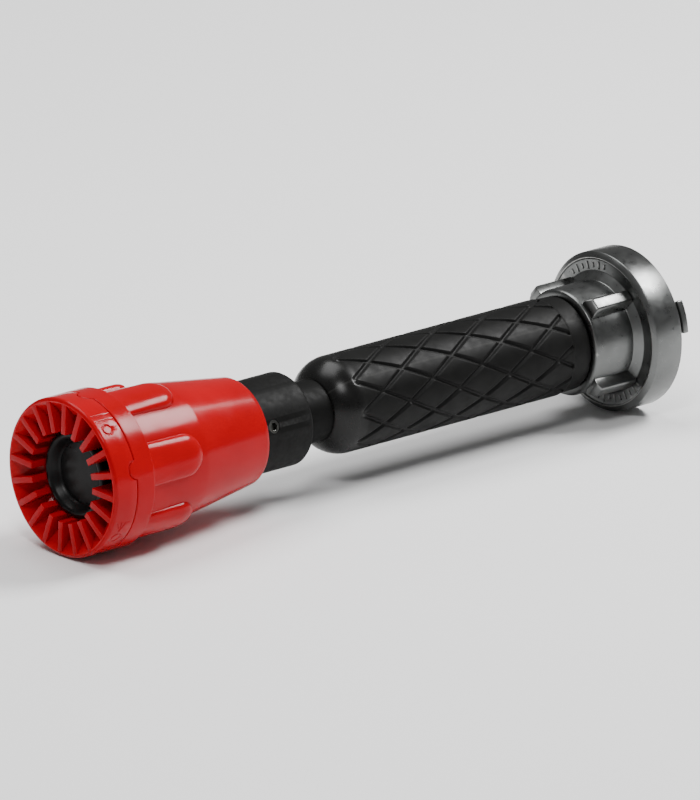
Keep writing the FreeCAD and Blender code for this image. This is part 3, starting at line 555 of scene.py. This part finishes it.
def build_claw_ring():
    """The Storz ring with softened cast edges: rim, hub, lips, hooked claws and wrench ribs."""
    first, hub_end = span("claw_ring")
    radius = outer_radius("claw_ring")
    face = RING_FACE
    snap_shoulder = hub_end - 5.7
    main = lathe("claw_ring_casting", [
        (0.0, radius), (RIM_SHOULDER, radius), (face, 25.7), (face - 0.1, 25.3), (face - 0.5, 25.0),
        (face - 0.5, 21.2), (face, 20.7), (face + 1.5, HUB_RADIUS), (hub_end - 1.3, HUB_RADIUS),
        (hub_end - 0.4, 17.9), (hub_end, 17.0), (hub_end, HUB_BORE), (snap_shoulder, HUB_BORE),
        (snap_shoulder, TAIL_BORE), (7.5, TAIL_BORE), (7.5, CLAW_INNER), (9.0, CLAW_INNER),
        (9.0, CAVITY_RADIUS), (0.0, CAVITY_RADIUS),
    ])
    parts = [round_edges(main, 0.4)]
    for side in (0.0, 180.0):
        hook_end = first + HOOK_LENGTH
        claw = lathe("claw", [
            (first, CLAW_INNER), (first, HOOK_RADIUS), (hook_end, HOOK_RADIUS), (hook_end, 19.5),
            (9.6, 19.5), (9.6, CLAW_INNER),
        ], start=CLAW_ELEVATION + side - CLAW_SPREAD / 2, sweep=CLAW_SPREAD)
        parts.append(round_edges(claw, 0.5))
        slot = CLAW_ELEVATION + 90.0 + side
        lip = lathe("lip", [
            (0.03, LIP_RADIUS), (0.03, 25.0), (LIP_LENGTH, 25.0), (LIP_LENGTH, LIP_RADIUS),
        ], start=slot + SLOT_SPREAD / 2, sweep=180.0 - SLOT_SPREAD)
        parts.append(round_edges(lip, 0.3))
    for number in range(4):
        parts.append(wrench_rib(hub_end, WRENCH_ELEVATION + 90.0 * number))
    for elevation, count in CAST_MARKS:
        parts += cast_marks(elevation, count)
    return join("claw_ring_casting", parts)


# Materials -----------------------------------------------------------------------------------

class Surface:
    """A node material with one principled shader, built up feature by feature."""

    def __init__(self, name, roughness, metallic=0.0):
        self.material = bpy.data.materials.new(name)
        self.material.use_nodes = True
        self.tree = self.material.node_tree
        self.shader = self.tree.nodes["Principled BSDF"]
        self.shader.inputs["Metallic"].default_value = metallic
        self.shader.inputs["Roughness"].default_value = roughness
        self.place = self.tree.nodes.new("ShaderNodeTexCoord").outputs["Object"]
        self.normal = None

    def noise(self, scale, detail=4.0, stretch=(1.0, 1.0, 1.0)):
        """A noise pattern, with scale in features per metre."""
        mapping = self.tree.nodes.new("ShaderNodeMapping")
        mapping.inputs["Scale"].default_value = stretch
        pattern = self.tree.nodes.new("ShaderNodeTexNoise")
        pattern.inputs["Scale"].default_value = scale
        pattern.inputs["Detail"].default_value = detail
        self.tree.links.new(self.place, mapping.inputs["Vector"])
        self.tree.links.new(mapping.outputs["Vector"], pattern.inputs["Vector"])
        return pattern.outputs["Fac"]

    def ramp(self, source, low, high, start=0.35, end=0.65):
        """Spread a pattern between two colours."""
        ramp = self.tree.nodes.new("ShaderNodeValToRGB")
        ramp.color_ramp.elements[0].position = start
        ramp.color_ramp.elements[0].color = (*low, 1.0)
        ramp.color_ramp.elements[1].position = end
        ramp.color_ramp.elements[1].color = (*high, 1.0)
        self.tree.links.new(source, ramp.inputs["Fac"])
        return ramp.outputs["Color"]

    def spread(self, source, low, high, start=0.3, end=0.7):
        """Spread a pattern between two numbers."""
        scale = self.tree.nodes.new("ShaderNodeMapRange")
        scale.inputs["From Min"].default_value = start
        scale.inputs["From Max"].default_value = end
        scale.inputs["To Min"].default_value = low
        scale.inputs["To Max"].default_value = high
        self.tree.links.new(source, scale.inputs["Value"])
        return scale.outputs["Result"]

    def along(self):
        """The place along the waterway in metres."""
        parts = self.tree.nodes.new("ShaderNodeSeparateXYZ")
        self.tree.links.new(self.place, parts.inputs["Vector"])
        return parts.outputs["X"]

    def times(self, first, second):
        """The product of two patterns."""
        product = self.tree.nodes.new("ShaderNodeMath")
        product.operation = "MULTIPLY"
        self.tree.links.new(first, product.inputs[0])
        self.tree.links.new(second, product.inputs[1])
        return product.outputs["Value"]

    def mix(self, share, first, second):
        """Mix two colours by a share."""
        mix = self.tree.nodes.new("ShaderNodeMix")
        mix.data_type = "RGBA"
        self.tree.links.new(share, mix.inputs["Factor"])
        self.tree.links.new(first, mix.inputs["A"])
        self.tree.links.new(second, mix.inputs["B"])
        return mix.outputs["Result"]

    def edges(self, start, end):
        """How worn a spot is, from how sharply the surface turns there."""
        geometry = self.tree.nodes.new("ShaderNodeNewGeometry")
        return self.spread(geometry.outputs["Pointiness"], 0.0, 1.0, start, end)

    def colour(self, source):
        """Use a pattern as the base colour."""
        self.tree.links.new(source, self.shader.inputs["Base Color"])

    def roughness(self, source):
        """Use a pattern as the roughness."""
        self.tree.links.new(source, self.shader.inputs["Roughness"])

    def soften(self, radius):
        """Let light catch the edges as if they were rounded to a radius in millimetres."""
        bevel = self.tree.nodes.new("ShaderNodeBevel")
        bevel.samples = 4
        bevel.inputs["Radius"].default_value = radius * MM
        self.normal = bevel.outputs["Normal"]
        self.tree.links.new(self.normal, self.shader.inputs["Normal"])

    def bump(self, source, strength, height):
        """Raise the surface by a pattern, up to a height in millimetres."""
        bump = self.tree.nodes.new("ShaderNodeBump")
        bump.inputs["Strength"].default_value = strength
        bump.inputs["Distance"].default_value = height * MM
        self.tree.links.new(source, bump.inputs["Height"])
        if self.normal is not None:
            self.tree.links.new(self.normal, bump.inputs["Normal"])
        self.normal = bump.outputs["Normal"]
        self.tree.links.new(self.normal, self.shader.inputs["Normal"])


def red_plastic():
    """Glossy moulded red plastic with a faint orange peel, uneven gloss and paler worn edges."""
    red = Surface("red_plastic", 0.18)
    red.shader.inputs["Specular IOR Level"].default_value = 0.10
    body = red.ramp(red.noise(45.0), (0.32, 0.0, 0.004), (0.38, 0.0, 0.005))
    worn = red.ramp(red.noise(900.0), (0.42, 0.002, 0.007), (0.48, 0.006, 0.010))
    red.colour(red.mix(red.edges(0.56, 0.70), body, worn))
    red.roughness(red.spread(red.noise(160.0, 6.0), 0.13, 0.21))
    red.bump(red.noise(1500.0, 2.0), 0.10, 0.02)
    red.bump(red.noise(220.0, 2.0), 0.12, 0.05)
    return red.material


def grip_rubber():
    """Moulded black rubber with a fine grain: matte on the diamonds, polished on the front shoulder."""
    rubber = Surface("grip_rubber", 0.5)
    rubber.shader.inputs["Specular IOR Level"].default_value = 0.10
    base = rubber.ramp(rubber.noise(70.0), (0.0035, 0.0035, 0.0033), (0.0055, 0.0055, 0.0052))
    worn = rubber.ramp(rubber.noise(1200.0), (0.009, 0.009, 0.0085), (0.014, 0.014, 0.013))
    rubber.colour(rubber.mix(rubber.edges(0.54, 0.68), base, worn))
    shoulder = (span("grip_sleeve")[1] - SHOULDER_LENGTH) * MM
    change = (shoulder - 0.001, shoulder + 0.003)
    polish = rubber.spread(rubber.along(), 1.0, 0.55, *change)
    rubber.roughness(rubber.times(rubber.spread(rubber.noise(260.0, 5.0), 0.42, 0.58), polish))
    shine = rubber.spread(rubber.along(), 0.10, 0.24, *change)
    rubber.tree.links.new(shine, rubber.shader.inputs["Specular IOR Level"])
    rubber.bump(rubber.noise(3500.0, 3.0), 0.30, 0.03)
    return rubber.material


def gasket_rubber():
    """Plain black seal rubber with a mould bloom."""
    rubber = Surface("gasket_rubber", 0.6)
    rubber.colour(rubber.ramp(rubber.noise(300.0), (0.015, 0.015, 0.016), (0.035, 0.035, 0.036)))
    rubber.roughness(rubber.spread(rubber.noise(500.0), 0.5, 0.7))
    rubber.bump(rubber.noise(2500.0), 0.2, 0.02)
    return rubber.material


def black_anodised():
    """Satin black anodised aluminium with faint turning marks and bright worn edges."""
    black = Surface("black_anodised", 0.5)
    black.shader.inputs["Specular IOR Level"].default_value = 0.07
    body = black.ramp(black.noise(60.0), (0.003, 0.003, 0.0028), (0.005, 0.005, 0.0047))
    bare = black.ramp(black.noise(800.0), (0.03, 0.03, 0.03), (0.07, 0.07, 0.07))
    black.colour(black.mix(black.edges(0.58, 0.74), body, bare))
    black.roughness(black.spread(black.noise(420.0, 5.0), 0.46, 0.60))
    black.bump(black.noise(500.0, 2.0, (14.0, 0.4, 0.4)), 0.12, 0.01)
    return black.material


def baffle_plastic():
    """Semi-gloss black plastic with water-worn haze."""
    black = Surface("baffle_plastic", 0.3)
    black.shader.inputs["Specular IOR Level"].default_value = 0.14
    black.colour(black.ramp(black.noise(110.0), (0.004, 0.004, 0.004), (0.006, 0.006, 0.006)))
    black.roughness(black.spread(black.noise(350.0, 5.0), 0.26, 0.42))
    black.bump(black.noise(1600.0), 0.12, 0.02)
    return black.material


def cast_aluminium():
    """Satin forged aluminium with a fine blasted grain and polished edges."""
    metal = Surface("cast_aluminium", 0.38, 1.0)
    body = metal.ramp(metal.noise(55.0, 6.0), (0.115, 0.118, 0.116), (0.145, 0.149, 0.147))
    bright = metal.ramp(metal.noise(600.0), (0.22, 0.22, 0.215), (0.32, 0.32, 0.31))
    metal.colour(metal.mix(metal.edges(0.52, 0.66), body, bright))
    metal.roughness(metal.spread(metal.noise(380.0, 6.0), 0.26, 0.36))
    metal.bump(metal.noise(2600.0, 3.0), 0.12, 0.02)
    metal.bump(metal.noise(300.0, 3.0), 0.10, 0.04)
    return metal.material


def turned_metal(name, low, high, roughness=(0.22, 0.36)):
    """Bare turned metal, with fine marks round the waterway."""
    metal = Surface(name, roughness[0], 1.0)
    metal.colour(metal.ramp(metal.noise(120.0), low, high))
    metal.roughness(metal.spread(metal.noise(420.0, 5.0), *roughness))
    metal.soften(0.15)
    metal.bump(metal.noise(450.0, 2.0, (16.0, 0.3, 0.3)), 0.15, 0.01)
    return metal.material


def bearing_plastic():
    """Off-white acetal."""
    plastic = Surface("bearing_plastic", 0.4)
    plastic.colour(plastic.ramp(plastic.noise(150.0), (0.74, 0.73, 0.69), (0.84, 0.83, 0.80)))
    plastic.roughness(plastic.spread(plastic.noise(400.0), 0.34, 0.46))
    plastic.bump(plastic.noise(1500.0), 0.1, 0.01)
    return plastic.material


def floor_paint():
    """The plain pale floor."""
    paint = Surface("floor", 0.6)
    paint.colour(paint.ramp(paint.noise(3.0), (0.86, 0.86, 0.86), (0.88, 0.88, 0.88)))
    return paint.material


def dress(piece, material):
    """Give a piece or CAD node one material."""
    piece.data.materials.clear()
    piece.data.materials.append(material)


# Putting it together -------------------------------------------------------------------------

def place_piece(piece, body, node, material):
    """Set a finer piece in place of a CAD node."""
    dress(piece, material)
    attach(piece, body)
    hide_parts(node)


def build_pieces():
    """Build the detailed pieces and give every CAD node that stays its material."""
    red = red_plastic()
    seal = gasket_rubber()
    black = black_anodised()
    baffle_black = baffle_plastic()
    aluminium = cast_aluminium()
    steel = turned_metal("stainless_steel", (0.55, 0.55, 0.54), (0.66, 0.66, 0.65))
    plated = turned_metal("screw_steel", (0.09, 0.09, 0.085), (0.14, 0.14, 0.13), (0.25, 0.42))
    spring = turned_metal("spring_steel", (0.30, 0.30, 0.31), (0.42, 0.42, 0.43))
    bright = turned_metal("sleeve_aluminium", (0.66, 0.66, 0.67), (0.76, 0.76, 0.77))
    brass = turned_metal("bearing_brass", (0.62, 0.44, 0.18), (0.74, 0.56, 0.27))
    place_piece(build_grip(), "barrel", "grip_sleeve", grip_rubber())
    place_piece(build_shell(), "head", "head_shell", red)
    place_piece(build_front_ring(), "head", "front_ring", red)
    place_piece(build_baffle(), "barrel", "baffle_disc", baffle_black)
    place_piece(build_cap(), "barrel", "baffle_cap", baffle_black)
    place_piece(build_claw_ring(), "coupling_ring", "claw_ring", aluminium)
    kept = {
        "barrel_tube": black, "valve_body": black, "inlet_tail": aluminium, "inlet_gasket": seal,
        "swivel_washer": bearing_plastic(), "coupling_snap_ring": spring, "collar_set_screw": plated,
        "guide_key": plated, "stem_spider": steel, "stem_bolt": steel, "stem_spacer": steel,
        "stem_nut": steel, "baffle_seal": seal, "valve_sleeve": bright, "seat_ring": steel,
        "cam_bush": brass, "head_retainer": brass, "head_wiper": seal, "tail_o_ring": seal,
        "neck_o_ring": seal, "sleeve_o_ring": seal,
    }
    for node, material in kept.items():
        dress(NODES[node], material)


# Camera, floor and light ---------------------------------------------------------------------

CAMERA_AIM = Vector((0.1245, 0.0, 0.0))
CAMERA_WAY = Vector((0.631, 0.713, 0.307)).normalized()
CAMERA_DISTANCE = 9.0
CAMERA_LENS = 1215.0             # focal length on a 36 mm wide sensor
FLOOR_SIZE = 12.0


def aim(thing, spot):
    """Turn a camera or light to look at a spot."""
    thing.rotation_euler = (spot - thing.location).to_track_quat("-Z", "Y").to_euler()


def add_camera():
    """A long lens at the viewing angle."""
    lens = bpy.data.cameras.new("camera")
    lens.sensor_width = 36.0
    lens.lens = CAMERA_LENS
    lens.clip_end = 40.0
    camera = bpy.data.objects.new("camera", lens)
    bpy.context.scene.collection.objects.link(camera)
    camera.location = CAMERA_AIM + CAMERA_WAY * CAMERA_DISTANCE
    aim(camera, CAMERA_AIM)
    bpy.context.scene.camera = camera


def add_light(name, way, distance, size, power):
    """A soft rectangular white light that looks at the nozzle."""
    lamp = bpy.data.lights.new(name, "AREA")
    lamp.shape = "RECTANGLE"
    lamp.size = size[0]
    lamp.size_y = size[1]
    lamp.energy = power
    light = bpy.data.objects.new(name, lamp)
    bpy.context.scene.collection.objects.link(light)
    light.location = CAMERA_AIM + Vector(way).normalized() * distance
    aim(light, CAMERA_AIM)


def add_floor():
    """The pale floor that the nozzle lies on."""
    lowest = CAD_BOX[0][2]
    bpy.ops.mesh.primitive_plane_add(size=FLOOR_SIZE, location=(0.0, 0.0, lowest - 0.0002))
    floor = bpy.context.active_object
    floor.name = "floor"
    dress(floor, floor_paint())


def add_studio():
    """Even pale surroundings, a key from behind, a small light for the shoulder and a broad top fill."""
    world = bpy.data.worlds.new("studio")
    world.use_nodes = True
    world.node_tree.nodes["Background"].inputs["Color"].default_value = (1.0, 1.0, 1.0, 1.0)
    world.node_tree.nodes["Background"].inputs["Strength"].default_value = 0.22
    bpy.context.scene.world = world
    add_light("key", (-0.63, 0.21, 0.745), 1.3, (0.55, 0.34), 24.0)
    add_light("shoulder_light", (0.49, 0.42, 0.76), 1.5, (0.30, 0.30), 9.0)
    add_light("top_fill", (0.1, -0.4, 1.0), 1.8, (1.4, 1.0), 28.0)


build_pieces()
add_floor()
add_studio()
add_camera()
